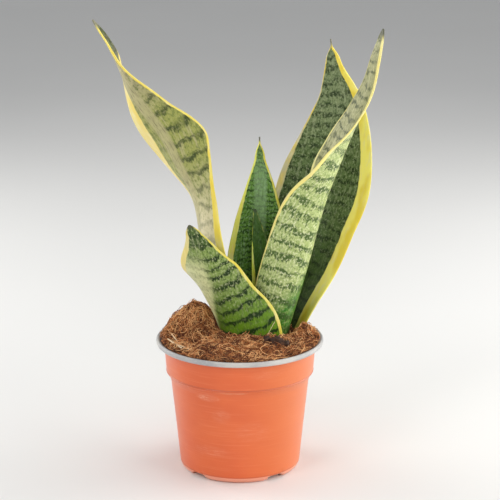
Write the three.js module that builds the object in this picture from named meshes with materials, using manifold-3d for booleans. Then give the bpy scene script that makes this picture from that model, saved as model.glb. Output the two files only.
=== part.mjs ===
// A potted snake plant: six blades in one rosette, growing from a short rhizome in a coir-filled nursery pot.
// Millimetres, +Z up, origin at the centre of the pot's base. -Y is the front and +X the right.
import * as THREE from "three";
import { mergeVertices } from "three/addons/utils/BufferGeometryUtils.js";
import Module from "manifold-3d";

const wasm = await Module();
wasm.setup();

// Driving dimensions
const rimRadius = 60;
const potHeight = 96;
const collarRadius = 54.2;
const collarLowRadius = 52.8;
const collarLowHeight = 72;
const shoulderRadius = 49.6;
const shoulderHeight = 66;
const baseRadius = 43.4;
const baseCorner = 4.6;
const wall = 1.0;
const potSides = 48;
const footNotchHeight = 4;
const footNotchAngle = 18;
const footNotchInner = 29;
const footNotchCentres = [53, 134.5, 225.5, 307];
const drainRadius = 3.5;
const drainAt = (footNotchInner + baseRadius) / 2 - 0.6;
const raisedSpread = 3;
const clearance = 0.4;
const soilLevel = 94.8;
const soilRadius = 56.2;
const soilBottom = 5.2;
const rhizomeTop = 79;
const marginThickness = 1.0;
const tipWidth = 1.4;
const leafColumns = 8;
const rippleRate = 19;
const rippleFullWidth = 30;
const buriedShare = 0.45;

const rad = THREE.MathUtils.degToRad;

// Catmull-Rom through evenly spaced values, with straight run-outs at both ends
function through(values, u) {
  const last = values.length - 1;
  const at = Math.min(Math.max(u, 0), 1) * last;
  const i = Math.min(Math.floor(at), last - 1);
  const f = at - i;
  const a = i > 0 ? values[i - 1] : 2 * values[0] - values[1];
  const b = values[i];
  const c = values[i + 1];
  const d = i + 2 <= last ? values[i + 2] : 2 * values[last] - values[last - 1];
  const square = (2 * a - 5 * b + 4 * c - d) * f * f;
  return 0.5 * (2 * b + (c - a) * f + square + (3 * b - a - 3 * c + d) * f ** 3);
}

// Each blade's stations from base to tip: where the rib runs (x, y, z), the width along the surface,
// the heading in plan that the inner face looks to, how far each half has turned up at its margin,
// and the thickness at the rib. A low fold is a sharp keel and a high one a round channel. Swells widen
// or narrow one half of a blade: the share of the way up, the spread as a share, and the size.
const blades = {
  leaf_front_short: {
    fold: 1.2, rows: 18, ripple: 0.5, color: 0x5f7d3a,
    stations: [
      [-6.5, 1, 80, 86, 34, 74, 3.6], [-10.8, -2.5, 105, 86, 38, 66, 3.2], [-18.2, -7, 129, 63, 50, 50, 2.6],
      [-25.5, -12.5, 149, 46, 66, 38, 2.2], [-29.5, -17, 167, 23, 72, 30, 1.9],
      [-35, -20.5, 184, 1.4, 70, 15, 1.2],
    ],
  },
  leaf_right_front: {
    fold: 0.3, rows: 24, ripple: 0.5, color: 0xa9b884,
    stations: [
      [26, 0.5, 80, 40, 116, 64, 3.6], [30, -4, 106, 50, 118, 64, 3.4], [37.5, -6, 133, 56, 121, 62, 2.9],
      [46, -6, 160, 58, 128, 60, 2.5], [55.5, -3, 186, 59, 148, 57, 2.3], [65, 1, 210, 57, 177, 52, 2.2],
      [73.5, 3, 232, 55, 180, 36, 2.1], [82, 3, 254, 47, 184, 16, 2.0], [90.5, 2, 276, 31, 191, 9, 1.9],
      [95, 0, 298, 17.5, 194, 8, 1.7], [98.9, -1, 318, 1.4, 198, 6, 1.2],
    ],
  },
  leaf_right_back: {
    fold: 1.0, rows: 24, ripple: 0.8, color: 0x3f5f3c,
    stations: [
      [28, 29, 82.5, 52, 236, 57, 3.6], [35.3, 33, 112.5, 62, 241, 45, 3.2],
      [45, 39, 141.5, 69, 246, 36, 2.8], [55, 44, 171.5, 70, 250, 30, 2.4],
      [64.3, 47, 200, 71, 252, 26, 2.2], [70.8, 48, 230, 56, 254, 24, 2.1],
      [72.5, 47, 258, 36.5, 256, 22, 2.0], [67.6, 46, 283, 14.5, 258, 18, 1.7],
      [64.7, 45, 304, 1.4, 258, 10, 1.2],
    ],
  },
  leaf_left_tall: {
    fold: 0.8, rows: 24, ripple: 0.6, color: 0xb3b083, swells: [[0.56, 0.04, 3.2], [0.65, 0.04, -2.5]],
    stations: [
      [-5.2, 12.5, 80, 38, 2, 75, 3.4], [-12.7, 13, 110, 50, 2, 68, 3.0], [-22.5, 14, 140, 56, 4, 56, 2.8],
      [-28, 15, 170, 50, 10, 42, 2.5], [-31.5, 17, 195, 43, 27, 28, 2.3],
      [-42.6, 19, 218, 58.4, 39, 28, 2.2], [-53.2, 21, 239, 53, 48, 24, 2.1],
      [-69.4, 23, 261, 35, 44, 14, 2.0], [-82.5, 25, 282, 20, 18, 20, 1.9],
      [-92.2, 26, 303, 7, -22, 44, 1.6], [-103, 27, 320.3, 1.4, -38, 30, 1.2],
    ],
  },
  leaf_centre: {
    fold: 0.8, rows: 20, ripple: 0.4, color: 0x2f5a2c,
    stations: [
      [16, 27, 80, 26, 268, 72, 3.2], [15.5, 27, 108, 35, 268, 55, 2.8], [14, 26.5, 140, 51, 268, 38, 2.4],
      [14.2, 24.5, 172, 40, 268, 30, 2.1], [14.8, 23, 200, 23, 268, 25, 1.9],
      [14.4, 22, 222, 7.5, 268, 15, 1.6], [14, 21, 238, 1.4, 268, 10, 1.2],
    ],
  },
  leaf_spear: {
    fold: 0.8, rows: 14, ripple: 0.2, color: 0x2c5226,
    stations: [
      [18.5, 17, 80, 18, 264, 70, 3.0], [19, 16, 110, 21, 264, 60, 2.6], [18, 15, 140, 21, 264, 50, 2.2],
      [14, 14, 166, 11, 262, 35, 1.8], [10.6, 12, 187.5, 1.4, 262, 10, 1.2],
    ],
  },
};

// The rib's point, the way it climbs, the way across and the way the inner face looks, a share u up the blade
function bladeFrame(stations, u) {
  const column = (k, at) => through(stations.map((station) => station[k]), at);
  const point = (at) => new THREE.Vector3(column(0, at), column(1, at), column(2, at));
  const step = 0.002;
  const up = point(Math.min(u + step, 1)).sub(point(Math.max(u - step, 0))).normalize();
  const heading = rad(column(4, u));
  const inward = new THREE.Vector3(Math.cos(heading), Math.sin(heading), 0);
  inward.addScaledVector(up, -inward.dot(up)).normalize();
  return {
    rib: point(u), up, inward, across: new THREE.Vector3().crossVectors(up, inward),
    width: Math.max(column(3, u), tipWidth), cup: rad(column(5, u)), thickness: column(6, u),
  };
}

// One row across a blade: its two faces, offset to either side of the curved middle line
function bladeRow(blade, u, grow) {
  const frame = bladeFrame(blade.stations, u);
  const half = leafColumns / 2;
  let swell = 0;
  for (const [at, spread, size] of blade.swells ?? []) swell += size * Math.exp(-(((u - at) / spread) ** 2));
  const wave = Math.sin(u * rippleRate + blade.rows);
  const ripple = blade.ripple * wave * Math.min(1, frame.width / rippleFullWidth);
  const row = { inner: [], outer: [] };
  for (let j = -half; j <= half; j++) {
    const side = Math.sign(j);
    const strip = (frame.width / 2 + grow + (side < 0 ? swell : 0)) / half;
    let out = 0;
    let rise = 0;
    let turn = 0;
    for (let k = 1; k <= Math.abs(j); k++) {
      const share = (k - 0.5) / half;
      turn = (frame.cup * share * (1 + blade.fold)) / (share + blade.fold);
      out += Math.cos(turn) * strip;
      rise += Math.sin(turn) * strip;
    }
    const share = Math.abs(j) / half;
    const middle = frame.rib.clone().addScaledVector(frame.across, side * out);
    middle.addScaledVector(frame.inward, rise + ripple * side * share * share);
    const facing = frame.inward.clone().multiplyScalar(Math.cos(turn));
    facing.addScaledVector(frame.across, -side * Math.sin(turn));
    const body = marginThickness + (frame.thickness - marginThickness) * (1 - share * share);
    row.inner.push(middle.clone().addScaledVector(facing, body / 2 + grow));
    row.outer.push(middle.clone().addScaledVector(facing, -body / 2 - grow));
  }
  return row;
}

// A closed blade: the same triangles on both faces, with strips along the margins and at both ends
function bladeSolid(blade, grow = 0, reach = 1) {
  const rows = Math.round(blade.rows * reach);
  const grid = [];
  for (let i = 0; i <= rows; i++) grid.push(bladeRow(blade, i / blade.rows, grow));
  if (grow > 0) {
    const down = bladeFrame(blade.stations, 0).up.multiplyScalar(-grow);
    for (const face of ["inner", "outer"]) grid[0][face].forEach((point) => point.add(down));
  }
  const points = [];
  const index = { inner: [], outer: [] };
  for (const row of grid) {
    for (const face of ["inner", "outer"]) {
      index[face].push(row[face].map((point) => points.push(point) - 1));
    }
  }
  const triangles = [];
  const quad = (a, b, c, d) => triangles.push([a, b, c], [a, c, d]);
  const inner = index.inner;
  const outer = index.outer;
  for (let i = 0; i < rows; i++) {
    for (let j = 0; j < leafColumns; j++) {
      triangles.push([inner[i][j], inner[i][j + 1], inner[i + 1][j + 1]]);
      triangles.push([inner[i][j], inner[i + 1][j + 1], inner[i + 1][j]]);
      triangles.push([outer[i][j], outer[i + 1][j + 1], outer[i][j + 1]]);
      triangles.push([outer[i][j], outer[i + 1][j], outer[i + 1][j + 1]]);
    }
    quad(inner[i][0], inner[i + 1][0], outer[i + 1][0], outer[i][0]);
    quad(inner[i + 1][leafColumns], inner[i][leafColumns], outer[i][leafColumns], outer[i + 1][leafColumns]);
  }
  for (let j = 0; j < leafColumns; j++) {
    quad(inner[0][j + 1], inner[0][j], outer[0][j], outer[0][j + 1]);
    quad(inner[rows][j], inner[rows][j + 1], outer[rows][j + 1], outer[rows][j]);
  }
  return toManifold(meshOf(points, triangles));
}

function meshOf(points, triangles) {
  const geometry = new THREE.BufferGeometry();
  const flat = points.flatMap((p) => [p.x, p.y, p.z]);
  geometry.setAttribute("position", new THREE.Float32BufferAttribute(flat, 3));
  geometry.setIndex(triangles.flat());
  return geometry;
}

function toManifold(geometry) {
  const bare = geometry.clone();
  bare.deleteAttribute("normal");
  bare.deleteAttribute("uv");
  const merged = mergeVertices(bare, 1e-3);
  const solid = new wasm.Manifold(new wasm.Mesh({
    numProp: 3,
    vertProperties: Float32Array.from(merged.attributes.position.array),
    triVerts: Uint32Array.from(merged.index.array),
  }));
  return solid;
}

function toGeometry(solid) {
  const mesh = solid.getMesh();
  const geometry = new THREE.BufferGeometry();
  geometry.setAttribute("position", new THREE.BufferAttribute(Float32Array.from(mesh.vertProperties), 3));
  geometry.setIndex(new THREE.BufferAttribute(Uint32Array.from(mesh.triVerts), 1));
  geometry.computeVertexNormals();
  return geometry;
}

// The largest body of a solid, without the scraps a cut can leave
function largestBody(solid) {
  return solid.decompose().sort((a, b) => b.volume() - a.volume())[0];
}

// A profile of [radius, height] pairs, from axis to axis, turned about Z
function turned(profile, sides) {
  const lathe = new THREE.LatheGeometry(profile.map(([r, z]) => new THREE.Vector2(r, z)), sides);
  return toManifold(lathe.rotateX(Math.PI / 2));
}

// A wedge between two radii, centred on an angle in plan
function wedge(innerRadius, outerRadius, low, high, centre, spread) {
  const shape = new THREE.Shape();
  const from = rad(centre - spread / 2);
  const to = rad(centre + spread / 2);
  shape.moveTo(innerRadius * Math.cos(from), innerRadius * Math.sin(from));
  shape.lineTo(outerRadius * Math.cos(from), outerRadius * Math.sin(from));
  shape.lineTo(outerRadius * Math.cos(to), outerRadius * Math.sin(to));
  shape.lineTo(innerRadius * Math.cos(to), innerRadius * Math.sin(to));
  shape.closePath();
  const block = new THREE.ExtrudeGeometry(shape, { depth: high - low, bevelEnabled: false });
  return toManifold(block.translate(0, 0, low));
}

// The pot's inner wall, from its floor up to the flare under the rim; both soil and pot follow it
const innerWall = [
  [baseRadius - wall - baseCorner, wall + 0.2],
  [baseRadius - wall - 1.2, wall + 1.6],
  [baseRadius - wall, baseCorner + 1.2],
  [shoulderRadius - wall, shoulderHeight + 0.4],
  [collarLowRadius - wall, collarLowHeight + 0.4],
  [collarRadius - wall, 91],
  [rimRadius - 3.2, 94.6],
];

// A thin formed shell with a stepped collar and a rolled rim, raised off the floor in four drained notches
function makePot() {
  const outerWall = [
    [baseRadius - baseCorner, 0],
    [baseRadius - 1.6, 1.2],
    [baseRadius, baseCorner],
    [shoulderRadius, shoulderHeight],
    [collarLowRadius, collarLowHeight],
    [collarRadius, 90.4],
    [collarRadius + 2.6, 92],
    [rimRadius - 0.9, 92.4],
    [rimRadius, 93.4],
    [rimRadius, potHeight - 1.2],
    [rimRadius - 0.8, potHeight],
    [rimRadius - 2.2, potHeight],
  ];
  let pot = turned([[0, 0], ...outerWall, ...innerWall.slice().reverse(), [0, wall + 0.2]], potSides);
  const floor = footNotchHeight + wall;
  for (const centre of footNotchCentres) {
    const spread = footNotchAngle + raisedSpread;
    pot = pot.add(wedge(footNotchInner - wall, baseRadius - wall / 2, wall / 2, floor, centre, spread));
  }
  for (const centre of footNotchCentres) {
    pot = pot.subtract(wedge(footNotchInner, baseRadius + 5, -1, footNotchHeight, centre, footNotchAngle));
    const drain = new THREE.CylinderGeometry(drainRadius, drainRadius, 20, 16).rotateX(Math.PI / 2);
    drain.translate(drainAt * Math.cos(rad(centre)), drainAt * Math.sin(rad(centre)), 0);
    pot = pot.subtract(toManifold(drain));
  }
  return pot;
}

// The fill heaps up round the crown and highest at the back left, with a dip at the right of the
// crown: [x, y, rise, spread]
const mounds = [
  [-31, 23, 14, 17],
  [-40, 14, 5.5, 22],
  [14, 2, 11, 24],
  [45, 2, 7.5, 7.5],
  [37, 6, -6, 8],
  [31, -6, -3, 7],
  [-18, -34, 2.5, 14],
  [22, -38, 2, 12],
];

function soilHeight(x, y) {
  let height = soilLevel;
  for (const [cx, cy, rise, spread] of mounds) {
    height += rise * Math.exp(-((x - cx) ** 2 + (y - cy) ** 2) / spread ** 2);
  }
  return height + 0.7 * Math.sin(x / 3.7 + 1) * Math.sin(y / 4.3) + 0.5 * Math.sin(x / 2.3 - y / 2.9);
}

// Coir that fills the pot to its wall, with a lumpy heaped top
function makeSoil() {
  const sectors = potSides;
  const topRings = [54.2, 48, 40.5, 32, 23, 12];
  const below = innerWall.filter(([, z]) => z > soilBottom);
  const lowest = [baseRadius - wall - clearance - 0.4, soilBottom];
  const side = [lowest, ...below.map(([r, z]) => [r - clearance, z])];
  const points = [new THREE.Vector3(0, 0, soilBottom)];
  const rings = [];
  const addRing = (radius, heightAt) => {
    const ring = [];
    for (let k = 0; k < sectors; k++) {
      const x = radius * Math.cos((k / sectors) * 2 * Math.PI);
      const y = radius * Math.sin((k / sectors) * 2 * Math.PI);
      ring.push(points.push(new THREE.Vector3(x, y, heightAt(x, y))) - 1);
    }
    rings.push(ring);
  };
  for (const [radius, z] of side) addRing(radius, () => z);
  addRing(soilRadius - 0.6, (x, y) => soilLevel + 0.5 + 0.35 * (soilHeight(x, y) - soilLevel));
  for (const radius of topRings) addRing(radius, soilHeight);
  const peak = points.push(new THREE.Vector3(0, 0, soilHeight(0, 0))) - 1;
  const triangles = [];
  for (let k = 0; k < sectors; k++) {
    const next = (k + 1) % sectors;
    triangles.push([0, rings[0][next], rings[0][k]]);
    for (let i = 0; i + 1 < rings.length; i++) {
      triangles.push([rings[i][k], rings[i][next], rings[i + 1][next]]);
      triangles.push([rings[i][k], rings[i + 1][next], rings[i + 1][k]]);
    }
    const top = rings[rings.length - 1];
    triangles.push([top[k], top[next], peak]);
  }
  return toManifold(meshOf(points, triangles));
}

// A short thick underground stem with a few stout roots, grown by a clearance for the hollow it lies in
function makeRhizome(grow = 0) {
  const crown = new THREE.Vector3(13, 15, 0);
  const profile = [
    [0, 48 - grow], [9 + grow, 50 - grow], [17 + grow, 58], [22 + grow, 70],
    [23 + grow, rhizomeTop - 1 + grow], [21 + grow, rhizomeTop + grow], [0, rhizomeTop + grow],
  ];
  let stem = turned(profile, 16).translate([crown.x, crown.y, 0]);
  const roots = [[20, 24], [95, 20], [165, 28], [235, 30], [305, 24]];
  for (const [heading, length] of roots) {
    const way = new THREE.Vector3(Math.cos(rad(heading)), Math.sin(rad(heading)), 0);
    const at = (out, z) => way.clone().multiplyScalar(out).add(new THREE.Vector3(crown.x, crown.y, z));
    const bends = [at(8, 60), at(8 + length * 0.4, 50), at(3 + length * 0.7, 18 - grow)];
    const run = new THREE.CatmullRomCurve3(bends);
    const round = new THREE.Shape();
    round.absarc(0, 0, 1.6 + grow, 0, 2 * Math.PI);
    const swept = { extrudePath: run, steps: 4, curveSegments: 3, bevelEnabled: false };
    stem = stem.add(toManifold(new THREE.ExtrudeGeometry(round, swept)));
  }
  return stem;
}

function place(group, name, solid, color, roughness) {
  const material = new THREE.MeshStandardMaterial({ color, roughness, metalness: 0 });
  const mesh = new THREE.Mesh(toGeometry(solid), material);
  mesh.name = name;
  group.add(mesh);
}

const plant = new THREE.Group();
place(plant, "pot", makePot(), 0xd4713f, 0.45);
place(plant, "rhizome", makeRhizome(), 0xb98a5a, 0.8);

let soil = makeSoil().subtract(makeRhizome(clearance));
for (const [name, blade] of Object.entries(blades)) {
  place(plant, name, bladeSolid(blade), blade.color, 0.4);
  soil = soil.subtract(bladeSolid(blade, clearance, buriedShare));
}
place(plant, "soil", largestBody(soil), 0x6d4429, 0.95);

export default plant;
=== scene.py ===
# Potted snake plant: six banded blades, coir and a nursery pot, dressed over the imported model.
import math
import random

import bpy
from mathutils import Euler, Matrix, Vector, noise
from mathutils.bvhtree import BVHTree


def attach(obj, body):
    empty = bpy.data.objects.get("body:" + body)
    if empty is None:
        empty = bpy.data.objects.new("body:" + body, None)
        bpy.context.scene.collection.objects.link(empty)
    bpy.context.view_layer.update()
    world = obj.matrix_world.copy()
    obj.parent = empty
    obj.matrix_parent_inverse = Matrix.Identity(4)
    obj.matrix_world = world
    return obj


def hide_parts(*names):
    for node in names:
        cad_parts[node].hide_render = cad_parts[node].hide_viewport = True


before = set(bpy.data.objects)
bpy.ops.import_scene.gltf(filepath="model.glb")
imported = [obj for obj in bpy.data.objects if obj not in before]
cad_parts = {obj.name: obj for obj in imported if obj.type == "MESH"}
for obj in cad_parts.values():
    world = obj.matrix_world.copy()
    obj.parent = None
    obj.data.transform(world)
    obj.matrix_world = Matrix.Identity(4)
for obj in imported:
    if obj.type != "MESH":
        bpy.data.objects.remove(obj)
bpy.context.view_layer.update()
scene = bpy.context.scene
mm = 0.001


# Camera and lights

view = {"place": (0.0073, -1.2357, 0.4969), "pitchDown": 15.233, "lens": 130.1, "sensor": 36}
studio = {"aim": (0, 0, 0.16), "sky": (0.86, 0.87, 0.88, 1), "skyStrength": 0.45}

cameraData = bpy.data.cameras.new("photoCamera")
cameraData.lens = view["lens"]
cameraData.sensor_width = view["sensor"]
camera = bpy.data.objects.new("photoCamera", cameraData)
camera.location = view["place"]
camera.rotation_euler = (math.radians(90 - view["pitchDown"]), 0, 0)
scene.collection.objects.link(camera)
scene.camera = camera
scene.view_settings.view_transform = "Standard"

softboxes = {  # place, size in metres, watts, colour
    "keyLight": ((-0.85, -1.0, 1.0), 0.7, 5.6, (1.0, 0.99, 0.97)),
    "fillLight": ((1.05, -0.75, 0.7), 0.7, 4.2, (1.0, 0.98, 0.95)),
    "sideLight": ((1.15, 0.0, 0.45), 0.8, 6, (1.0, 0.98, 0.95)),
    "frontLight": ((0.25, -1.9, 0.8), 1.0, 8, (1.0, 1.0, 0.99)),
    "topLight": ((0.0, 0.15, 1.5), 0.8, 3, (0.98, 0.99, 1.0)),
    "backLeftLight": ((-0.9, 0.5, 0.4), 0.8, 5.5, (1.0, 0.98, 0.95)),
    "backRightLight": ((0.9, 0.5, 0.4), 0.8, 5, (1.0, 0.98, 0.95)),
}
for name, (place, size, watts, colour) in softboxes.items():
    data = bpy.data.lights.new(name, "AREA")
    data.shape = "DISK"
    data.size = size
    data.energy = watts
    data.color = colour
    light = bpy.data.objects.new(name, data)
    light.location = place
    light.rotation_euler = (Vector(studio["aim"]) - Vector(place)).to_track_quat("-Z", "Y").to_euler()
    scene.collection.objects.link(light)

world = bpy.data.worlds.new("studio")
world.use_nodes = True
sky = world.node_tree.nodes["Background"]
sky.inputs["Color"].default_value = studio["sky"]
sky.inputs["Strength"].default_value = studio["skyStrength"]
scene.world = world
print("camera and lights set")


# Materials: sums on sockets are written as Python expressions

class Wire:  # a node's output that Python can do sums with
    def __init__(self, paint, socket):
        self.paint, self.socket = paint, socket

    def sum(self, operation, first, second):
        return self.paint.node("ShaderNodeMath", {"operation": operation}, {0: first, 1: second})

    def __add__(self, other):
        return self.sum("ADD", self, other)

    def __sub__(self, other):
        return self.sum("SUBTRACT", self, other)

    def __rsub__(self, other):
        return self.sum("SUBTRACT", other, self)

    def __mul__(self, other):
        return self.sum("MULTIPLY", self, other)

    __radd__ = __add__
    __rmul__ = __mul__


class Paint:  # one material and its nodes
    def __init__(self, name):
        self.material = bpy.data.materials.new(name)
        self.material.use_nodes = True
        self.tree = self.material.node_tree
        self.shader = self.tree.nodes["Principled BSDF"]

    def node(self, kind, settings=None, values=None, out=0):
        made = self.tree.nodes.new(kind)
        for key, value in (settings or {}).items():
            setattr(made, key, value)
        for key, value in (values or {}).items():
            self.feed(made.inputs[key], value)
        return Wire(self, made.outputs[out])

    def feed(self, socket, value):
        if isinstance(value, Wire):
            self.tree.links.new(value.socket, socket)
        else:
            socket.default_value = value

    def give(self, socket, value):
        self.feed(self.shader.inputs[socket], value)

    def split(self, vector):
        made = self.tree.nodes.new("ShaderNodeSeparateXYZ")
        self.feed(made.inputs[0], vector)
        return [Wire(self, made.outputs[i]) for i in range(3)]

    def millimetres(self):  # the place on the piece, as x, y and z
        return [axis * 1000 for axis in self.split(self.node("ShaderNodeTexCoord", out=3))]

    def point(self, x, y, z):
        return self.node("ShaderNodeCombineXYZ", {}, {0: x, 1: y, 2: z})

    def grain(self, x, y, z, detail=2.0, rough=0.5):  # noise from 0 to 1 around 0.5, a unit a cell
        values = {"Vector": self.point(x, y, z), "Scale": 1.0, "Detail": detail, "Roughness": rough}
        return self.node("ShaderNodeTexNoise", {}, values)

    def step(self, value, low, high):  # 0 below low, 1 above high, smooth between
        values = {"Value": value, "From Min": low, "From Max": high}
        return self.node("ShaderNodeMapRange", {"interpolation_type": "SMOOTHSTEP"}, values)

    def between(self, value, a, b, c, d):  # 0 below a and above d, 1 from b to c, smooth between
        return self.step(value, a, b) * self.step(value, d, c)

    def mix(self, first, second, share):
        return self.node("ShaderNodeMix", {"data_type": "RGBA"}, {0: share, 6: first, 7: second}, out=2)

    def bump(self, height, distance, strength):
        values = {"Height": height, "Distance": distance, "Strength": strength}
        self.give("Normal", self.node("ShaderNodeBump", {}, values))


def rgb(red, green, blue):  # display values from 0 to 255, made linear
    def linear(value):
        share = value / 255
        return share / 12.92 if share <= 0.04045 else ((share + 0.055) / 1.055) ** 2.4
    return (linear(red), linear(green), linear(blue), 1.0)


# Helpers for making pieces

def deselectAll():
    if bpy.context.object and bpy.context.object.mode != "OBJECT":
        bpy.ops.object.mode_set(mode="OBJECT")
    bpy.ops.object.select_all(action="DESELECT")


def selectOnly(piece):
    deselectAll()
    bpy.context.view_layer.objects.active = piece
    piece.select_set(True)


def applyAll(piece):
    selectOnly(piece)
    for modifier in list(piece.modifiers):
        bpy.ops.object.modifier_apply(modifier=modifier.name)


def shadeSmooth(piece):
    piece.data.polygons.foreach_set("use_smooth", [True] * len(piece.data.polygons))


def finishPiece(piece, name, materials, node=None):
    piece.name = name
    piece.data.name = name
    piece.data.materials.clear()
    for material in materials:
        piece.data.materials.append(material)
    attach(piece, "root")
    if node:
        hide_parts(node)


def through(values, share):  # Catmull-Rom through evenly spaced values
    last = len(values) - 1
    at = min(max(share, 0), 1) * last
    i = min(int(at), last - 1)
    f = at - i
    a = values[i - 1] if i > 0 else 2 * values[0] - values[1]
    b, c = values[i], values[i + 1]
    d = values[i + 2] if i + 2 <= last else 2 * values[last] - values[last - 1]
    square = (2 * a - 5 * b + 4 * c - d) * f * f
    return 0.5 * (2 * b + (c - a) * f + square + (3 * b - a - 3 * c + d) * f ** 3)


# Floor

deselectAll()
bpy.ops.mesh.primitive_plane_add(size=14, location=(0, 0, 0))
floor = bpy.context.object
floor.name = "studioFloor"
floorPaint = Paint("paleFloor")
floorX, floorY, _ = floorPaint.millimetres()
floorShade = floorPaint.grain(floorX * 0.003, floorY * 0.003, 0.0)
floorPaint.give("Base Color", floorPaint.mix((0.80, 0.80, 0.79, 1), (0.84, 0.84, 0.83, 1), floorShade))
floorPaint.give("Roughness", 0.6)
floor.data.materials.append(floorPaint.material)


# Blades. Stations from base to tip are x, y, z, width, heading of the inner face, cup and thickness,
# in millimetres and degrees. A small fold creases the cup at the rib. A hair is the share of the way up
# where the blade starts to close, and the share where only its dry point is left. Margins are the cream
# widths at the left and right of the inner face, evenly spaced up the blade, creams their colours, and
# gold how much deep yellow they have. A swell changes the left half: its share, its spread, its size.

blade = {
    "columns": 32, "rowsPer": 4, "marginThickness": 1.0, "tipWidth": 1.0, "closing": 1.6,
    "rippleRate": 19, "rippleFullWidth": 30, "uvPerMm": 0.01,
    "marginFoot": rgb(158, 176, 76), "marginPale": rgb(240, 230, 178), "marginGold": rgb(232, 202, 40),
    "roughness": 0.42, "specular": 0.22, "bumpDepth": 0.25,
}

# A face's bands mix a wave of that spacing, dashes and teeth, and the cut says where in the mix a band
# starts and is full. Sides weigh the bands left and right of the rib, and ends toward base and tip. Low
# and high are the tones toward base and tip. A painted sheen, a highlight painted in, pales the side past its
# start.

plainFace = {
    "spacing": 9.0, "wave": 0.4, "dash": 0.6, "teeth": 0.4, "cut": (0.2, 0.7), "strength": 0.85, "arch": 0.0,
    "sides": (1.0, 1.0), "ends": (1.0, 1.0), "mottle": 0.6, "streaks": 0.4, "specks": 0.5, "halo": 0.0,
    "lowShare": 0.05, "lowSoft": 0.04, "highShare": 0.98, "highSoft": 0.18, "slant": 0.0, "paintedSheen": 0.0,
    "rib": 0.0, "ribEnd": 1.2, "ribDark": rgb(60, 90, 40),
}

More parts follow.
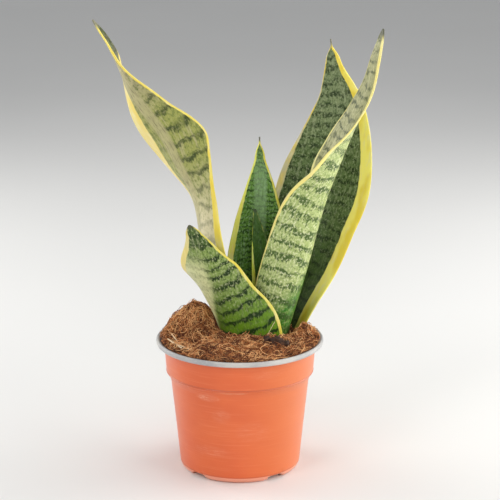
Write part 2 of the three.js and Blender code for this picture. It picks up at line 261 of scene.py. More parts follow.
blades = {
    "leaf_front_short": {
        "fold": 1.2, "rows": 18, "ripple": 0.5, "seed": 3.0, "hair": (0.9, 1.0),
        "stations": [
            [-6.5, 1, 80, 86, 34, 74, 3.6], [-10.8, -2.5, 105, 86, 38, 66, 3.2],
            [-18.2, -7, 129, 63, 50, 50, 2.6], [-25.5, -12.5, 149, 46, 66, 38, 2.2],
            [-29.5, -17, 167, 23, 72, 30, 1.9], [-35, -20.5, 184, 1.4, 70, 15, 1.2],
        ],
        "margins": ([2.4, 2.3, 2.2, 2.0, 1.4, 0.3], [5, 6, 6.5, 7, 5, 0.2]),
        "creams": (rgb(218, 206, 92), rgb(218, 208, 150)), "gold": 0.4, "tip": rgb(84, 88, 62),
        "outer": {"pale": rgb(132, 154, 80), "deep": rgb(84, 110, 46), "band": rgb(22, 46, 12),
                  "grey": rgb(172, 178, 134), "low": rgb(98, 138, 26), "high": rgb(66, 88, 40), "mottle": 0.8,
                  "wave": 0.75, "dash": 0.35, "teeth": 0.45, "arch": 0.005, "cut": (0.10, 0.75),
                  "sides": (1.0, 0.35), "strength": 0.95, "lowShare": 0.50, "lowSoft": 0.32,
                  "highShare": 0.79, "highSoft": 0.04, "specks": 0.75, "halo": 0.15,
                  # painted sheen: a pale highlight painted on the far side of the outer face
                  "paintedSheen": 1.0, "paintedSheenTone": rgb(212, 214, 160), "paintedSheenFrom": -6.0, "paintedSheenTo": 1.0},
        "inner": {"pale": rgb(92, 120, 62), "deep": rgb(70, 98, 44), "band": rgb(40, 62, 26),
                  "grey": rgb(112, 128, 90), "low": rgb(80, 110, 50), "high": rgb(76, 98, 52)},
    },
    "leaf_right_front": {
        "fold": 0.3, "rows": 24, "ripple": 0.5, "seed": 11.0, "hair": (0.95, 1.0),
        "stations": [
            [26, 0.5, 80, 40, 116, 64, 3.6], [30, -4, 106, 50, 118, 64, 3.4],
            [37.5, -6, 133, 56, 121, 62, 2.9], [46, -6, 160, 58, 128, 60, 2.5],
            [55.5, -3, 186, 59, 148, 57, 2.3], [65, 1, 210, 57, 177, 52, 2.2],
            [73.5, 3, 232, 55, 180, 36, 2.1], [82, 3, 254, 47, 184, 16, 2.0],
            [90.5, 2, 276, 31, 191, 9, 1.9], [95, 0, 298, 17.5, 194, 8, 1.7],
            [98.9, -1, 318, 1.4, 198, 6, 1.2],
        ],
        "margins": ([3, 3, 3, 3, 3, 2.4, 1.6, 1.2, 1.0, 0.8, 0.2],
                    [1.6, 1.4, 1.2, 1.4, 2.0, 2.8, 3.0, 3.2, 4.2, 3.8, 0.5]),
        "creams": (rgb(222, 216, 138), rgb(240, 228, 140)), "gold": 0.2, "tip": rgb(96, 98, 80),
        "outer": {"pale": rgb(178, 192, 124), "deep": rgb(142, 166, 90), "band": rgb(58, 86, 34),
                  "grey": rgb(218, 222, 176), "low": rgb(54, 116, 26), "high": rgb(176, 184, 130),
                  "spacing": 10.5, "wave": 0.6, "dash": 0.5, "teeth": 0.7, "cut": (-0.1, 0.65),
                  "strength": 0.9, "lowShare": 0.24, "lowSoft": 0.10, "slant": 0.006, "streaks": 0.5,
                  "specks": 0.85},
        "inner": {"pale": rgb(166, 166, 120), "deep": rgb(126, 132, 84), "band": rgb(62, 74, 36),
                  "grey": rgb(208, 204, 160), "low": rgb(150, 156, 106), "high": rgb(130, 132, 94),
                  "wave": 0.6, "cut": (0.0, 0.8), "streaks": 0.6, "mottle": 0.7, "specks": 0.35},
    },
    "leaf_right_back": {
        "fold": 1.0, "rows": 24, "ripple": 0.8, "seed": 23.0, "hair": (0.90, 0.965),
        "stations": [
            [28, 29, 82.5, 52, 236, 57, 3.6], [35.3, 33, 112.5, 62, 241, 45, 3.2],
            [45, 39, 141.5, 69, 246, 36, 2.8], [55, 44, 171.5, 70, 250, 30, 2.4],
            [64.3, 47, 200, 71, 252, 26, 2.2], [70.8, 48, 230, 56, 254, 24, 2.1],
            [72.5, 47, 258, 36.5, 256, 22, 2.0], [67.6, 46, 283, 14.5, 258, 18, 1.7],
            [64.7, 45, 304, 1.4, 258, 10, 1.2],
        ],
        "margins": ([3, 3.4, 4, 4.4, 4.2, 1.4, 0.9, 0.7, 0.2],
                    [13, 12.5, 11, 10.5, 10.5, 9.5, 7, 3.4, 0.4]),
        "creams": (rgb(204, 196, 156), rgb(255, 242, 124)), "gold": 0.75, "tip": rgb(120, 118, 100),
        "outer": {"pale": rgb(150, 166, 104), "deep": rgb(122, 142, 80), "band": rgb(78, 100, 54),
                  "grey": rgb(160, 168, 124), "low": rgb(120, 146, 80), "high": rgb(140, 150, 100)},
        # painted shade: the inner face is darker toward the base, in the shadow of the blade in front
        "inner": {"pale": rgb(96, 116, 70), "deep": rgb(58, 78, 40), "band": rgb(26, 42, 16),
                  "grey": rgb(150, 160, 122), "low": rgb(62, 86, 34), "high": rgb(120, 134, 94),
                  "wave": 0.5, "lowShare": 0.5, "lowSoft": 0.3, "highShare": 0.55, "strength": 0.8,
                  "mottle": 0.8, "streaks": 0.6, "specks": 0.7, "cut": (0.0, 0.7)},
    },
    "leaf_left_tall": {
        "fold": 0.8, "rows": 24, "ripple": 0.6, "seed": 37.0, "hair": (0.9, 1.0),
        "swells": [(0.56, 0.04, 3.2), (0.65, 0.04, -2.5)],
        "stations": [
            [-5.2, 12.5, 80, 38, 2, 75, 3.4], [-12.7, 13, 110, 50, 2, 68, 3.0],
            [-22.5, 14, 140, 56, 4, 56, 2.8], [-28, 15, 170, 50, 10, 42, 2.5],
            [-31.5, 17, 195, 43, 27, 28, 2.3], [-42.6, 19, 218, 58.4, 39, 28, 2.2],
            [-53.2, 21, 239, 53, 48, 24, 2.1], [-69.4, 23, 261, 35, 44, 14, 2.0],
            [-82.5, 25, 282, 20, 18, 20, 1.9], [-92.2, 26, 303, 7, -22, 44, 1.6],
            [-103, 27, 320.3, 1.4, -38, 30, 1.2],
        ],
        "margins": ([6, 6, 6, 5.6, 3.3, 1.7, 1.5, 1.5, 2.0, 2.4, 0.2],
                    [5, 5, 6, 11, 15, 15, 13.5, 9.5, 4.4, -0.8, -1.0]),
        "creams": (rgb(242, 224, 112), rgb(238, 220, 142)), "gold": 0.55, "tip": rgb(140, 138, 116),
        "outer": {"pale": rgb(156, 160, 86), "deep": rgb(112, 124, 58), "band": rgb(46, 62, 30),
                  "grey": rgb(188, 180, 134), "low": rgb(224, 214, 178), "high": rgb(176, 166, 128),
                  "spacing": 12.0, "wave": 0.8, "dash": 0.5, "teeth": 0.3, "cut": (0.0, 1.1), "strength": 0.9,
                  "sides": (1.0, 0.35), "ends": (0.3, 0.6), "lowShare": 0.52, "lowSoft": 0.24,
                  "highShare": 0.62, "rib": 1.0, "ribDark": rgb(92, 86, 56), "streaks": 0.7,
                  "mottle": 0.8, "specks": 0.3},
        "inner": {"pale": rgb(122, 140, 76), "deep": rgb(92, 110, 54), "band": rgb(52, 68, 34),
                  "grey": rgb(150, 158, 112), "low": rgb(104, 126, 60), "high": rgb(92, 92, 72),
                  "highShare": 0.68},
    },
    "leaf_centre": {
        "fold": 0.8, "rows": 20, "ripple": 0.4, "seed": 47.0, "hair": (0.83, 0.945),
        "stations": [
            [16, 27, 80, 26, 268, 72, 3.2], [15.5, 27, 108, 35, 268, 55, 2.8],
            [14, 26.5, 140, 51, 268, 38, 2.4], [14.2, 24.5, 172, 40, 268, 30, 2.1],
            [14.8, 23, 200, 23, 268, 25, 1.9], [14.4, 22, 222, 7.5, 268, 15, 1.6],
            [14, 21, 238, 1.4, 268, 10, 1.2],
        ],
        "margins": ([4, 5, 5, 4.2, 1.5, 1.0, 0.2], [3, 3, 3, 2.0, 1.3, 0.9, 0.2]),
        "creams": (rgb(226, 228, 108), rgb(214, 216, 100)), "gold": 0.4, "tip": rgb(112, 112, 104),
        "outer": {"pale": rgb(120, 144, 84), "deep": rgb(96, 122, 62), "band": rgb(62, 86, 42),
                  "grey": rgb(130, 148, 106), "low": rgb(96, 122, 62), "high": rgb(140, 158, 104),
                  "spacing": 6.0},
        "inner": {"pale": rgb(98, 140, 56), "deep": rgb(62, 102, 30), "band": rgb(20, 44, 8),
                  "grey": rgb(156, 188, 140), "low": rgb(62, 104, 32), "high": rgb(104, 130, 66),
                  "spacing": 3.6, "wave": 0.6, "teeth": 0.1, "cut": (0.0, 0.7), "strength": 0.8,
                  "lowShare": 0.4, "lowSoft": 0.26, "highShare": 0.76, "rib": 0.65, "ribEnd": 0.8,
                  "mottle": 0.8},
    },
    "leaf_spear": {
        "fold": 0.8, "rows": 14, "ripple": 0.2, "seed": 59.0, "hair": (0.95, 1.0),
        "stations": [
            [18.5, 17, 80, 18, 264, 70, 3.0], [19, 16, 110, 21, 264, 60, 2.6],
            [18, 15, 140, 21, 264, 50, 2.2], [14, 14, 166, 11, 262, 35, 1.8],
            [10.6, 12, 187.5, 1.4, 262, 10, 1.2],
        ],
        "margins": ([2.4, 2.4, 2.2, 0.2, 0.0], [0.5, 0.5, 0.4, 0.2, 0.0]),
        "creams": (rgb(204, 220, 90), rgb(120, 140, 84)), "gold": 0.4, "tip": rgb(60, 76, 50),
        # painted shade: the spear's tones are dark for the shade deep among the other blades
        "outer": {"pale": rgb(74, 102, 52), "deep": rgb(58, 84, 40), "band": rgb(42, 66, 28),
                  "grey": rgb(96, 116, 84), "low": rgb(74, 102, 52), "high": rgb(70, 92, 56),
                  "strength": 0.4},
        "inner": {"pale": rgb(62, 96, 34), "deep": rgb(46, 76, 22), "band": rgb(28, 50, 14),
                  "grey": rgb(92, 118, 78), "low": rgb(52, 86, 26), "high": rgb(74, 98, 58),
                  "strength": 0.4},
    },
}


def bladePaint(name, look, face):
    tones = {**plainFace, **look[face]}
    paint = Paint(name)
    seed = look["seed"] + (0 if face == "outer" else 70)
    across, along, _ = paint.split(paint.node("ShaderNodeUVMap", {"uv_map": "blade"}))
    across = across * (1 / blade["uvPerMm"])  # millimetres from the rib
    along = along * (1 / blade["uvPerMm"])  # millimetres up the blade
    edge = paint.node("ShaderNodeAttribute", {"attribute_name": "creamDepth"}, out=2)
    height = paint.node("ShaderNodeAttribute", {"attribute_name": "shareUp"}, out=2)

    def clumps(perAcross, perAlong, offset, detail=2.0):  # noise around 0 and mostly within 1
        return (paint.grain(across * perAcross, along * perAlong, seed + offset, detail, 0.6) - 0.5) * 4

    mottle = clumps(0.42, 0.28, 14, 3.0)
    specks = clumps(0.75, 0.50, 31, 3.0)
    streaks = clumps(0.45, 0.035, 35, 3.0)
    veins = paint.grain(across * 2.4, along * 0.04, seed + 21, 2.0)

    # Cross bands: a wave up the blade with toothed borders, broken by short dashes
    teeth = clumps(0.60, 0.16, 5, 2.0)
    bends = clumps(0.05, 0.04, 0) * 3.5 + clumps(0.17, 0.13, 3) * 1.3
    level = along + bends + teeth * 1.1 - across * across * tones["arch"]
    turns = level * (2 * math.pi / tones["spacing"])
    wave = paint.node("ShaderNodeMath", {"operation": "SINE"}, {0: turns})
    dash = (paint.grain(across * 0.15, level * 0.36, seed + 9, 2.0, 0.55) - 0.5) * 4
    bands = wave * tones["wave"] + dash * tones["dash"] + teeth * tones["teeth"]
    right = paint.step(across, -7.0, 7.0)
    lowEdge = height + across * tones["slant"] + mottle * 0.015
    low = paint.step(lowEdge, tones["lowShare"], tones["lowShare"] - tones["lowSoft"])
    high = paint.step(height + teeth * 0.008, tones["highShare"], tones["highShare"] + tones["highSoft"])
    leftWeight, rightWeight = tones["sides"]
    lowWeight, highWeight = tones["ends"]
    lowFade = 1 - low * (1 - lowWeight)
    weight = (right * (rightWeight - leftWeight) + leftWeight) * lowFade
    weight = weight * (1 - high * (1 - highWeight)) * tones["strength"]
    band = paint.step(bands, *tones["cut"]) * weight
    halo = paint.step(bands, tones["cut"][0] - 0.7, tones["cut"][1] - 0.3) * weight  # a softer, wider band

    colour = paint.mix(tones["pale"], tones["low"], low)
    colour = paint.mix(colour, tones["high"], high)
    paintedSheenShare = 0.0
    if tones["paintedSheen"]:  # painted sheen: a paler side that narrows toward the base; painted shade: a darker strip beside it
        start = tones["paintedSheenFrom"]
        paintedSheenSide = across - low * 9.0 + mottle * 0.6
        paintedSheenShare = paint.step(paintedSheenSide, start, tones["paintedSheenTo"])
        # painted shade: a darker strip beside the painted sheen
        beside = paint.step(paintedSheenSide, start - 12.0, start - 3.0) * (1 - paintedSheenShare)
        colour = paint.mix(colour, tones["band"], beside * paint.step(height, 0.5, 0.2) * 0.3)
        paintedSheenShare = paintedSheenShare * paint.step(height, 0.78, 0.58) * tones["paintedSheen"]
        colour = paint.mix(colour, tones["paintedSheenTone"], paintedSheenShare)
    plain = 1 - paintedSheenShare * 0.65  # under the painted sheen the pattern shows less, too
    deep = paint.step(mottle, -0.1, 0.5) * lowFade * plain * tones["mottle"]
    colour = paint.mix(colour, tones["deep"], deep)
    fewer = (1 - low * 0.8) * plain  # streaks and specks thin out toward the base
    colour = paint.mix(colour, tones["grey"], paint.step(streaks, 0.1, 0.7) * fewer * tones["streaks"])
    colour = paint.mix(colour, tones["band"], halo * plain * tones["halo"])
    colour = paint.mix(colour, tones["band"], band * plain)
    darkSpecks = paint.step(specks, 0.10, 0.60) * fewer * tones["specks"]
    colour = paint.mix(colour, tones["band"], darkSpecks * 0.7)
    paleSpecks = paint.step(specks, -0.10, -0.60) * fewer * tones["specks"]
    colour = paint.mix(colour, tones["grey"], paleSpecks)
    if tones["rib"]:  # a paler strip up the rib, a painted highlight where the rounded rib catches the light, with dark dashes in it
        middle = paint.step(across * across, 34.0, 10.0) * tones["rib"]
        middle = middle * paint.step(height, tones["ribEnd"] + 0.1, tones["ribEnd"] - 0.1)
        colour = paint.mix(colour, tones["grey"], middle * 0.7)
        lines = paint.step(clumps(0.9, 0.11, 62, 3.0), 0.0, 0.7)
        colour = paint.mix(colour, tones["ribDark"], middle * lines * 0.65)

    # Cream margins with a wandering inner border, greener at the base, with pale and golden places
    wander = clumps(0.05, 0.11, 40) * 0.4 + clumps(1.0, 0.10, 44) * 0.25
    border = paint.step(edge + wander, -0.25, 0.30)
    golden = paint.step(clumps(0.07, 0.03, 57), -0.3, 0.6) * look["gold"]
    margin = paint.mix(look["creams"][0], look["creams"][1], paint.step(across, -0.5, 0.5))
    margin = paint.mix(margin, blade["marginFoot"], paint.step(height, 0.22, 0.06) * 0.55)
    margin = paint.mix(margin, blade["marginPale"], paint.step(clumps(0.35, 0.09, 50), -0.1, 0.6) * 0.45)
    margin = paint.mix(margin, blade["marginGold"], golden)
    colour = paint.mix(colour, margin, border)
    colour = paint.mix(colour, look["tip"], paint.step(height, 0.955, 0.985))
    paint.give("Base Color", colour)
    paint.give("Roughness", mottle * 0.04 + blade["roughness"])
    paint.give("Specular IOR Level", blade["specular"])
    paint.bump(veins * 0.6 + mottle * 0.12 + band * 0.25, blade["bumpDepth"] * mm, 0.6)
    return paint.material


def bladeFrame(stations, hair, share):
    column = [[station[k] for station in stations] for k in range(7)]

    def ribPoint(at):
        return Vector([through(column[k], at) for k in range(3)])

    up = (ribPoint(min(share + 0.002, 1)) - ribPoint(max(share - 0.002, 0))).normalized()
    heading = math.radians(through(column[4], share))
    inward = Vector((math.cos(heading), math.sin(heading), 0))
    inward = (inward - up * inward.dot(up)).normalized()
    width = max(through(column[3], share), blade["tipWidth"])
    hairFrom, hairAt = hair
    if share > hairFrom:  # the blade closes to a point, and a dry hair may run on from it
        closed = min((share - hairFrom) / (hairAt - hairFrom), 1) ** blade["closing"]
        width = through(column[3], hairFrom) * (1 - closed) + blade["tipWidth"] * closed
    cup = math.radians(through(column[5], share))
    return ribPoint(share), inward, up.cross(inward), width, cup, through(column[6], share)


def makeBlade(name, look):
    rows = look["rows"] * blade["rowsPer"]
    half = blade["columns"] // 2
    deselectAll()
    bpy.ops.mesh.primitive_grid_add(x_subdivisions=2 * half, y_subdivisions=rows, size=2, location=(0, 0, 0))
    piece = bpy.context.object
    mesh = piece.data
    thickest = max(station[6] for station in look["stations"])
    frames = [bladeFrame(look["stations"], look["hair"], i / rows) for i in range(rows + 1)]
    lengths = [0.0]
    for before, after in zip(frames, frames[1:]):
        lengths.append(lengths[-1] + (after[0] - before[0]).length)
    group = piece.vertex_groups.new(name="thickness")
    creamDepth, shareUp, spread = [], [], []
    for vertex in mesh.vertices:
        i = round((vertex.co.y + 1) / 2 * rows)
        j = round(vertex.co.x * half)
        rib, inward, acrossWay, width, cup, thickness = frames[i]
        side = (j > 0) - (j < 0)
        share = i / rows
        reach = width / 2  # from the rib to this half's margin
        if side < 0:
            for swellAt, swellSpread, swell in look.get("swells", []):
                reach += swell * math.exp(-((share - swellAt) / swellSpread) ** 2)
        strip = reach / half
        out = rise = 0.0
        for k in range(abs(j)):
            at = (k + 0.5) / half
            turn = cup * at * (1 + look["fold"]) / (at + look["fold"])
            out += math.cos(turn) * strip
            rise += math.sin(turn) * strip
        at = abs(j) / half
        ripple = look["ripple"] * math.sin(share * blade["rippleRate"] + look["rows"])
        ripple *= min(1, width / blade["rippleFullWidth"])
        place = rib + acrossWay * side * out + inward * (rise + ripple * side * at * at)
        vertex.co = place * mm
        body = blade["marginThickness"] + (thickness - blade["marginThickness"]) * (1 - at * at)
        group.add([vertex.index], body / thickest, "REPLACE")
        cream = through(look["margins"][0 if side < 0 else 1], share) if side else 0.0
        creamDepth.append(cream - (1 - at) * reach)
        shareUp.append(share)
        spread.append((j / half * reach * blade["uvPerMm"], lengths[i] * blade["uvPerMm"]))
    mesh.attributes.new("creamDepth", "FLOAT", "POINT").data.foreach_set("value", creamDepth)
    mesh.attributes.new("shareUp", "FLOAT", "POINT").data.foreach_set("value", shareUp)
    layer = mesh.uv_layers[0]
    layer.name = "blade"
    for loop in mesh.loops:
        layer.data[loop.index].uv = spread[loop.vertex_index]
    wall = piece.modifiers.new("thickness", "SOLIDIFY")
    wall.thickness = thickest * mm
    wall.offset = 0
    wall.vertex_group = "thickness"
    wall.material_offset = 1
    wall.material_offset_rim = 0
    smooth = piece.modifiers.new("smooth", "SUBSURF")
    smooth.levels = smooth.render_levels = 1
    faces = [bladePaint(name + "Inner", look, "inner"), bladePaint(name + "Outer", look, "outer")]
    finishPiece(piece, name + "_blade", faces, name)
    applyAll(piece)
    shadeSmooth(piece)
    return piece


bladePieces = [makeBlade(name, look) for name, look in blades.items()]
print("blades made:", len(bladePieces))


# Pot

pot = {
    "sides": 160,
    "outer": [  # radius and height, from the middle of the foot to the top of the rolled rim
        (27.0, 0), (30.0, 0), (38.8, 0), (40.6, 0.2), (42.3, 1.5), (43.3, 3.6), (43.7, 8), (46.6, 37),
        (49.6, 65.6), (50.2, 67.4), (51.7, 70.6), (52.5, 71.7), (53.0, 72.1), (53.1, 72.6), (52.85, 73.0),
        (52.95, 73.5), (53.5, 81), (54.2, 90.2), (54.9, 91.4),
        (56.8, 92), (59.0, 92.3), (59.8, 93.0), (60.0, 94.2), (59.8, 95.3), (59.0, 95.95),
    ],
    "inner": [  # from the rim back down the inside to the middle of the floor
        (58.0, 95.9), (57.0, 95.0), (55.4, 92.9), (53.4, 91.2), (52.6, 80), (51.8, 72.6), (49.4, 67.6),
        (48.6, 65.8), (45.5, 36), (42.5, 6.2), (41.4, 3.6), (38.0, 1.2), (30.0, 1.2), (27.0, 1.2),
    ],
    "notchTurns": (53, 134.5, 225.5, 307), "notchSpread": 18, "notchRamp": 5, "notchHeight": 4.0,
    "notchFrom": 29, "floorHeight": 5.0, "smoothUnder": 40,
    "drainRadius": 3.5, "drainAt": 35.6, "drainDepth": 20, "drainSides": 24,
    "plastic": (rgb(216, 94, 39), rgb(221, 100, 43)), "streak": rgb(238, 144, 98),
    "paintedLightSide": rgb(214, 118, 60), "rubbed": rgb(240, 190, 160),
    "foot": rgb(240, 172, 146), "footLine": rgb(184, 84, 48), "footLineAt": (4.1, 4.4, 4.8, 5.2),
    "paintedShadowLine": rgb(176, 78, 44), "paintedShadowLineAt": (72.0, 72.7, 73.2, 73.7), "rimFrom": (92.4, 92.9),
    "rim": (rgb(164, 164, 166), rgb(196, 193, 188)), "rimPale": rgb(206, 204, 200),
    "rimDark": rgb(128, 124, 120), "coat": 0.35, "coatRoughness": 0.3, "bumpDepth": 0.2,
    "scuffs": [  # x and height on the front, half width and height, strength
        (-22, 65.5, 9, 3.4, 0.5), (-5, 71, 14, 1.0, 0.4), (-13, 52, 8, 6, 0.15), (-20, 24, 14, 5, 0.15),
        (9, 40, 14, 9, 0.1), (18, 84, 14, 4, 0.12),
    ],
}


def potPaint():
    paint = Paint("terracottaPlastic")
    x, y, z = paint.millimetres()
    clouds = paint.grain(x * 0.03, y * 0.03, z * 0.05, 3.0)
    streaks = paint.grain(x * 0.03, y * 0.03, z * 0.9, 3.0, 0.6)
    fine = paint.grain(x * 0.5, y * 0.5, z * 0.7, 3.0)
    scratches = paint.step(paint.grain(x * 0.16, y * 0.16, z * 1.3, 4.0, 0.7), 0.46, 0.66)
    colour = paint.mix(*pot["plastic"], paint.step(clouds, 0.35, 0.65))
    colour = paint.mix(colour, pot["streak"], paint.step(streaks, 0.50, 0.74) * 0.20)
    colour = paint.mix(colour, pot["paintedLightSide"], paint.step(x, -5.0, 50.0) * 0.7)  # painted light: paler toward the right side, where more light falls
    for atX, atZ, wide, tall, strength in pot["scuffs"]:  # pale rubbed places on the front
        offX, offZ = (x - atX) * (1 / wide), (z - atZ) * (1 / tall)
        rubbed = paint.step(offX * offX + offZ * offZ + y * 0.001, 1.0, 0.1) * paint.step(y, -20.0, -30.0)
        colour = paint.mix(colour, pot["rubbed"], rubbed * (scratches * 0.85 + 0.15) * strength)
    colour = paint.mix(colour, pot["foot"], paint.step(z, 4.3, 3.9) * 0.7)
    colour = paint.mix(colour, pot["footLine"], paint.between(z, *pot["footLineAt"]) * 0.5)
    # painted shadow: a dark line along the collar's lower edge
    colour = paint.mix(colour, pot["paintedShadowLine"], paint.between(z, *pot["paintedShadowLineAt"]) * 0.6)
    rimGrey = paint.mix(*pot["rim"], paint.step(clouds, 0.35, 0.62))
    rimGrey = paint.mix(rimGrey, pot["rimPale"], paint.step(fine, 0.45, 0.75) * 0.25)
    rimGrey = paint.mix(rimGrey, pot["rimDark"], paint.step(streaks, 0.58, 0.8) * 0.3)
    colour = paint.mix(colour, rimGrey, paint.step(z + fine * 0.4, *pot["rimFrom"]))
    paint.give("Base Color", colour)
    paint.give("Roughness", streaks * 0.14 + fine * 0.08 + 0.32)
    paint.give("Coat Weight", pot["coat"])
    paint.give("Coat Roughness", pot["coatRoughness"])
    paint.bump(streaks * 0.6 + fine * 0.3, pot["bumpDepth"] * mm, 0.4)
    return paint.material


def makePot():
    profile = [(r, h, True) for r, h in pot["outer"]] + [(r, h, False) for r, h in pot["inner"]]
    radius, height, _ = profile[0]
    deselectAll()
    bpy.ops.mesh.primitive_circle_add(vertices=pot["sides"], radius=radius * mm, fill_type="NGON",
                                      location=(0, 0, 0))
    piece = bpy.context.object
    bpy.ops.object.mode_set(mode="EDIT")
    bpy.ops.mesh.select_mode(type="EDGE")
    bpy.ops.mesh.select_all(action="SELECT")
    for nextRadius, nextHeight, _ in profile[1:]:
        bpy.ops.mesh.extrude_edges_move(TRANSFORM_OT_translate={"value": (0, 0, (nextHeight - height) * mm)})
        bpy.ops.transform.resize(value=(nextRadius / radius, nextRadius / radius, 1),
                                 center_override=(0, 0, nextHeight * mm))
        radius, height = nextRadius, nextHeight
    bpy.ops.mesh.edge_face_add()
    bpy.ops.mesh.select_all(action="SELECT")
    bpy.ops.mesh.normals_make_consistent(inside=False)
    bpy.ops.object.mode_set(mode="OBJECT")

    # Raise the foot in four notches, and the floor above each of them
    rings = len(profile)
    for index, vertex in enumerate(piece.data.vertices):
        reach = math.hypot(vertex.co.x, vertex.co.y) / mm
        turn = math.degrees(math.atan2(vertex.co.y, vertex.co.x)) % 360
        away = min(abs(turn - at) for at in pot["notchTurns"])
        share = min(max((pot["notchSpread"] / 2 - away) / pot["notchRamp"] + 0.5, 0), 1)
        if share > 0 and reach > pot["notchFrom"]:
            outside = profile[min(index // pot["sides"], rings - 1)][2]
            lowest = share * pot["notchHeight"] + (0 if outside else pot["floorHeight"] - pot["notchHeight"])
            vertex.co.z = max(vertex.co.z, lowest * mm)
    for turn in pot["notchTurns"]:
        deselectAll()
        way = Vector((math.cos(math.radians(turn)), math.sin(math.radians(turn)), 0)) * pot["drainAt"] * mm
        bpy.ops.mesh.primitive_cylinder_add(vertices=pot["drainSides"], radius=pot["drainRadius"] * mm,
                                            depth=pot["drainDepth"] * mm, location=way)
        drill = bpy.context.object
        hole = piece.modifiers.new("drain", "BOOLEAN")
        hole.operation = "DIFFERENCE"
        hole.object = drill
        hole.solver = "EXACT"
        applyAll(piece)
        bpy.data.objects.remove(drill)
    finishPiece(piece, "pot_shell", [potPaint()], "pot")
    selectOnly(piece)
    bpy.ops.object.shade_smooth_by_angle(angle=math.radians(pot["smoothUnder"]))


makePot()
print("pot made")


# Coir. The bed runs out to the radius, and loose fibres may lie out to the reach, over the rim.

coir = {
    "level": 94.8, "radius": 56.6, "reach": 57.8, "cells": 200,
    "mounds": [  # x, y, rise and spread of each heap
        [-31, 23, 14, 17], [-40, 14, 5.5, 22], [14, 2, 11, 24], [45, 2, 7.5, 7.5],
        [37, 6, -6, 8], [31, -6, -3, 7], [-18, -34, 2.5, 14], [22, -38, 2, 12],
    ],
    "edgeFrom": 53.5, "edgeSpread": 2.5, "edgeLift": 0.5, "edgeRelief": 0.35,
    "roughness": [(0.25, 3.0, 2.0), (0.7, 8.0, 0.9), (1.7, 5.0, 0.5)],  # how fine, slice of noise, height
    "skirt": [(56.2, 94.2), (52.9, 91), (51.4, 72.8), (48.2, 66.4), (42.0, 5.8)],  # radius and height
}


def coirHeight(x, y):
    level = coir["level"]
    height = level
    for cx, cy, rise, spread in coir["mounds"]:
        height += rise * math.exp(-((x - cx) ** 2 + (y - cy) ** 2) / spread ** 2)
    height += 0.7 * math.sin(x / 3.7 + 1) * math.sin(y / 4.3) + 0.5 * math.sin(x / 2.3 - y / 2.9)
    reach = math.hypot(x, y)
    if reach > coir["edgeFrom"]:  # the heaps flatten toward the pot's wall
        share = min((reach - coir["edgeFrom"]) / coir["edgeSpread"], 1)
        edge = level + coir["edgeLift"] + coir["edgeRelief"] * (height - level)
        height += (edge - height) * share
    return height


def coirTop(x, y):
    height = coirHeight(x, y)
    for fine, layer, rise in coir["roughness"]:
        height += noise.noise(Vector((x * fine, y * fine, layer))) * rise
    return height


def coirPaint(name, dark, middle, light, byStrand=False):
    paint = Paint(name)
    x, y, z = paint.millimetres()
    bits = paint.grain(x * 0.9, y * 0.9, z * 0.9, 3.0, 0.6)
    if byStrand:
        strandTone = paint.node("ShaderNodeAttribute", {"attribute_name": "strandTone"}, out=2)
        tone = strandTone + (bits - 0.5) * 0.5
        darkTo, lightFrom, lightTo = 0.15, 0.60, 0.95
    else:
        tone = paint.grain(x * 0.22, y * 0.22, z * 0.22, 3.0) * 0.5 + bits * 0.5
        darkTo, lightFrom, lightTo = 0.38, 0.52, 0.72
    colour = paint.mix(dark, middle, paint.step(tone, darkTo, 0.55))
    colour = paint.mix(colour, light, paint.step(tone, lightFrom, lightTo))
    paint.give("Base Color", colour)
    paint.give("Roughness", bits * 0.2 + 0.7)
    paint.bump(bits, 0.6 * mm, 0.7)
    return paint.material


def makeCoir():
    deselectAll()
    cells = coir["cells"]
    bpy.ops.mesh.primitive_grid_add(x_subdivisions=cells, y_subdivisions=cells, size=2, location=(0, 0, 0))
    piece = bpy.context.object
    for vertex in piece.data.vertices:
        a, b = vertex.co.x, vertex.co.y
        x = a * math.sqrt(1 - b * b / 2) * coir["radius"]
        y = b * math.sqrt(1 - a * a / 2) * coir["radius"]
        vertex.co = (x * mm, y * mm, coirTop(x, y) * mm)
    bpy.ops.object.mode_set(mode="EDIT")
    bpy.ops.mesh.select_mode(type="EDGE")
    bpy.ops.mesh.select_all(action="DESELECT")
    bpy.ops.mesh.select_non_manifold()
    for radius, height in coir["skirt"]:
        bpy.ops.mesh.extrude_edges_move()
        bpy.ops.object.mode_set(mode="OBJECT")
        for vertex in piece.data.vertices:
            if vertex.select:
                way = math.hypot(vertex.co.x, vertex.co.y)
                vertex.co = (vertex.co.x / way * radius * mm, vertex.co.y / way * radius * mm, height * mm)
        bpy.ops.object.mode_set(mode="EDIT")
    bpy.ops.mesh.edge_face_add()
    bpy.ops.mesh.select_all(action="SELECT")
    bpy.ops.mesh.normals_make_consistent(inside=False)
    bpy.ops.object.mode_set(mode="OBJECT")
    material = coirPaint("coirBed", rgb(34, 18, 10), rgb(124, 70, 37), rgb(188, 120, 70))
    finishPiece(piece, "coir_bed", [material], "soil")
    shadeSmooth(piece)


makeCoir()
bladeTrees = [BVHTree.FromPolygons([v.co for v in p.data.vertices], [f.vertices for f in p.data.polygons])
              for p in bladePieces]


def clearOfBlades(point, room):
    return all(tree.find_nearest(point, room * mm)[0] is None for tree in bladeTrees)


# Loose fibres. Thickness, length, lift over the coir and room to the blades are in millimetres.

strands = {
    "steps": 8, "sides": 3, "ends": 0.35, "room": 0.7, "wander": 0.25, "rimFrom": 56.0, "rimTop": 95.8,
    "coir_strands": {"count": 2500, "thickness": (0.32, 0.58), "length": (8, 24), "curl": 0.5, "lift": 3.4,
                     "seed": 5},
    "coir_fluff": {"count": 3700, "thickness": (0.22, 0.38), "length": (5, 13), "curl": 0.9, "lift": 1.8,
                   "seed": 8},
}


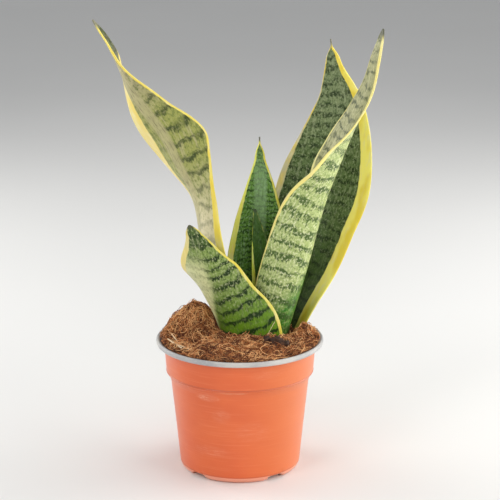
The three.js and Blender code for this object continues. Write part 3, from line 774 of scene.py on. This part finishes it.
def strandPath(dice, length, curl, lift):
    steps = strands["steps"]
    while True:
        angle = dice.uniform(0, 2 * math.pi)
        reach = math.sqrt(dice.random()) * coir["reach"]
        x, y = reach * math.cos(angle), reach * math.sin(angle)
        heading = dice.uniform(0, 2 * math.pi)
        turn = dice.uniform(-curl, curl)
        high = dice.uniform(0.2, lift)
        points = []
        for i in range(steps + 1):
            share = i / steps
            rise = high * math.sin(math.pi * share) + 0.1
            under = strands["rimTop"] if math.hypot(x, y) > strands["rimFrom"] else 0
            points.append(Vector((x, y, max(coirTop(x, y), under) + rise)) * mm)
            turn += dice.uniform(-strands["wander"], strands["wander"])
            heading += turn
            x += math.cos(heading) * length / steps
            y += math.sin(heading) * length / steps
        inside = all(math.hypot(p.x, p.y) < coir["reach"] * mm for p in points)
        if inside and all(clearOfBlades(p, strands["room"]) for p in points):
            return points


def sweep(path, radius, sides, ends, vertices, faces):  # a thin tube along a path, added to the lists
    start = len(vertices)
    last = len(path) - 1
    for i, point in enumerate(path):
        way = (path[min(i + 1, last)] - path[max(i - 1, 0)]).normalized()
        across = way.cross(Vector((0, 0, 1))).normalized()
        top = across.cross(way)
        thin = ends if i in (0, last) else 1.0
        for k in range(sides):
            turn = 2 * math.pi * k / sides
            vertices.append(point + (across * math.cos(turn) + top * math.sin(turn)) * radius * thin)
    for i in range(last):
        for k in range(sides):
            a, b = start + sides * i + k, start + sides * i + (k + 1) % sides
            faces.append((a, a + sides, b + sides, b))
    faces.append(tuple(start + k for k in range(sides)))
    faces.append(tuple(start + sides * last + k for k in reversed(range(sides))))


def meshPiece(name, vertices, faces, tones, material):
    mesh = bpy.data.meshes.new(name)
    mesh.from_pydata(vertices, [], faces)
    mesh.attributes.new("strandTone", "FLOAT", "POINT").data.foreach_set("value", tones)
    piece = bpy.data.objects.new(name, mesh)
    scene.collection.objects.link(piece)
    finishPiece(piece, name, [material])
    shadeSmooth(piece)


def makeStrands(name, material):
    kind = strands[name]
    dice = random.Random(kind["seed"])
    vertices, faces, tones = [], [], []
    for _ in range(kind["count"]):
        path = strandPath(dice, dice.uniform(*kind["length"]), kind["curl"], kind["lift"])
        radius = dice.uniform(*kind["thickness"]) / 2 * mm
        sweep(path, radius, strands["sides"], strands["ends"], vertices, faces)
        patch = noise.noise(path[4] * 70) * 0.8  # darker and lighter patches of coir
        tones += [dice.random() * 1.3 - 0.1 + patch] * (len(vertices) - len(tones))
    meshPiece(name, vertices, faces, tones, material)


huskPaint = coirPaint("coirHusk", rgb(104, 54, 27), rgb(194, 121, 66), rgb(246, 190, 130), True)
finePaint = coirPaint("coirFine", rgb(66, 34, 17), rgb(168, 98, 51), rgb(234, 164, 104), True)
makeStrands("coir_strands", huskPaint)
makeStrands("coir_fluff", finePaint)

crumbs = {"count": 700, "reach": 55, "size": (0.35, 1.1), "stretch": (0.5, 1.3), "room": 0.3, "seed": 21}


def makeCrumbs():
    dice = random.Random(crumbs["seed"])
    deselectAll()
    bpy.ops.mesh.primitive_ico_sphere_add(subdivisions=1, radius=1, location=(0, 0, 0))
    pattern = bpy.context.object
    corners = [v.co.copy() for v in pattern.data.vertices]
    sides = [tuple(f.vertices) for f in pattern.data.polygons]
    vertices, faces, tones = [], [], []
    made = 0
    while made < crumbs["count"]:
        angle, reach = dice.uniform(0, 2 * math.pi), math.sqrt(dice.random()) * crumbs["reach"]
        x, y = reach * math.cos(angle), reach * math.sin(angle)
        place = Vector((x, y, coirTop(x, y) + 0.3)) * mm
        size = dice.uniform(*crumbs["size"])
        if not clearOfBlades(place, size + crumbs["room"]):
            continue
        spin = Euler([dice.uniform(0, 6.28) for _ in range(3)]).to_matrix()
        stretch = [size * dice.uniform(*crumbs["stretch"]) for _ in range(3)]
        start = len(vertices)
        for corner in corners:
            shaped = Vector([c * k * dice.uniform(0.75, 1.2) for c, k in zip(corner, stretch)])
            vertices.append(place + spin @ shaped * mm)
        faces += [tuple(start + k for k in side) for side in sides]
        tones += [dice.random() * 0.8] * len(corners)
        made += 1
    bpy.data.objects.remove(pattern)
    meshPiece("coir_crumbs", vertices, faces, tones, finePaint)


makeCrumbs()

clod = {"centre": (26.5, -25.5), "reach": 8.5, "depth": 0.6, "lumps": 18, "size": (1.6, 3.6), "room": 1.0,
        "seed": 4}


def makeClod():  # a few dark lumps stuck together beside the leaves
    dice = random.Random(clod["seed"])
    middleX, middleY = clod["centre"]
    lumps = []
    for _ in range(clod["lumps"]):
        while True:
            angle, reach = dice.uniform(0, 2 * math.pi), dice.random() * clod["reach"]
            x, y = middleX + reach * math.cos(angle), middleY + clod["depth"] * reach * math.sin(angle)
            size = dice.uniform(*clod["size"])
            place = Vector((x, y, coirTop(x, y) + size * 0.8)) * mm
            if clearOfBlades(place, size + clod["room"]):
                break
        deselectAll()
        bpy.ops.mesh.primitive_ico_sphere_add(subdivisions=3, radius=size * mm, location=place)
        lump = bpy.context.object
        shift = Vector((dice.random(), dice.random(), dice.random())) * 50
        for vertex in lump.data.vertices:
            swell = 1 + 0.55 * noise.noise(vertex.co * 450 + shift)
            swell += 0.35 * noise.noise(vertex.co * 1300 + shift)
            vertex.co *= swell
        lumps.append(lump)
    deselectAll()
    for lump in lumps:
        lump.select_set(True)
    bpy.context.view_layer.objects.active = lumps[0]
    bpy.ops.object.join()
    bpy.ops.object.transform_apply(location=True, rotation=True, scale=True)
    piece = bpy.context.object
    material = coirPaint("darkPeat", rgb(34, 20, 13), rgb(74, 47, 31), rgb(120, 80, 52))
    finishPiece(piece, "coir_clod", [material])
    shadeSmooth(piece)


makeClod()

straws = {
    "steps": 8, "sides": 6, "ends": 0.6, "clear": 0.8, "tone": 0.9,
    "runs": [  # both ends as x, y and height over the coir, and the thickness
        ((-48.8, -4.5, 2.2), (-40.0, -29.5, 2.2), 1.1),
        ((-51.2, -14.4, 2.2), (-39.5, -33.5, 2.2), 1.1),
        ((-47.5, -18.0, 1.8), (-34.0, -37.0, 1.8), 0.8),
        ((18.5, -17.5, 0.5), (24.8, -15.5, 11.5), 0.3),
    ],
}


def makeStraws():
    steps = straws["steps"]
    vertices, faces = [], []
    for (x0, y0, lift0), (x1, y1, lift1), thickness in straws["runs"]:
        low, high = coirTop(x0, y0) + lift0, coirTop(x1, y1) + lift1
        path = []
        for i in range(steps + 1):
            path.append((x0 + (x1 - x0) * i / steps, y0 + (y1 - y0) * i / steps,
                         low + (high - low) * i / steps))
        buried = max(coirTop(x, y) + straws["clear"] - z for x, y, z in path)
        rise = max(buried, 0) * 0.6  # so that most of it shows where the coir is higher than both ends
        points = [Vector((x, y, z + rise)) * mm for x, y, z in path]
        sweep(points, thickness / 2 * mm, straws["sides"], straws["ends"], vertices, faces)
    tones = [straws["tone"]] * len(vertices)
    strawPaint = coirPaint("strawPale", rgb(168, 122, 80), rgb(208, 168, 122), rgb(238, 210, 172), True)
    meshPiece("coir_straws", vertices, faces, tones, strawPaint)


makeStraws()
print("coir made")


# The rhizome keeps its solid, with a husky finish

rhizomePaint = coirPaint("rhizomeSkin", rgb(150, 104, 62), rgb(184, 138, 92), rgb(214, 176, 130))
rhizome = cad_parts["rhizome"]
for slot in rhizome.material_slots:
    slot.material = rhizomePaint
